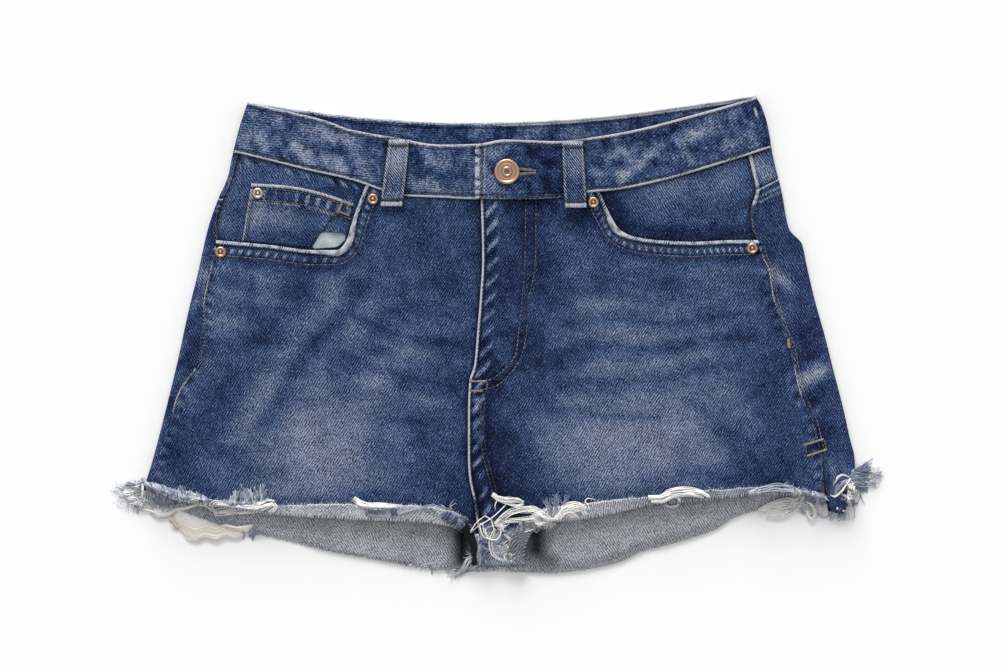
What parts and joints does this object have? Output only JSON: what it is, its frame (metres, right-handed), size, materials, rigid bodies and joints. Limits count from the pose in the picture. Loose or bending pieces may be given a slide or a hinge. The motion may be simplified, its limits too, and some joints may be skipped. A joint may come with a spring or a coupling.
{
  "type": "cut-off denim shorts",
  "caption": "Five-pocket denim shorts with raw frayed hems, buttoned and laid flat with the front up.",
  "frame": {"origin": "centre of the bounding box's underside, on the surface the shorts lie on", "axes": "+X across the shorts to the viewer's right, +Y up to the waist, +Z off the surface towards the viewer"},
  "size_m": [0.5448, 0.3375, 0.0116],
  "materials": {
    "washed_denim": "stonewashed indigo twill",
    "pocketing": "plain-woven cotton",
    "frayed_thread": "loose cotton threads",
    "copper": "brushed"
  },
  "bodies": {
    "root": {"front_left": "washed_denim", "front_right": "washed_denim", "back_left": "washed_denim", "back_right": "washed_denim", "yoke_left": "washed_denim", "yoke_right": "washed_denim", "waistband": "washed_denim", "facing_left": "washed_denim", "facing_right": "washed_denim", "coin_pocket": "washed_denim", "belt_loop_left": "washed_denim", "belt_loop_right": "washed_denim", "pocket_bag": "pocketing", "button": "copper", "rivet_coin": "copper", "rivet_left_band": "copper", "rivet_left_side": "copper", "rivet_right_band": "copper", "rivet_right_side": "copper", "fringe_front_left": "frayed_thread", "fringe_front_right": "frayed_thread", "fringe_left_hem": "frayed_thread", "fringe_right_hem": "frayed_thread", "fringe_left_corner": "frayed_thread", "fringe_right_corner": "frayed_thread", "fringe_back_left": "frayed_thread", "fringe_back_right": "frayed_thread", "fringe_crotch": "frayed_thread"}
  },
  "joints": []
}
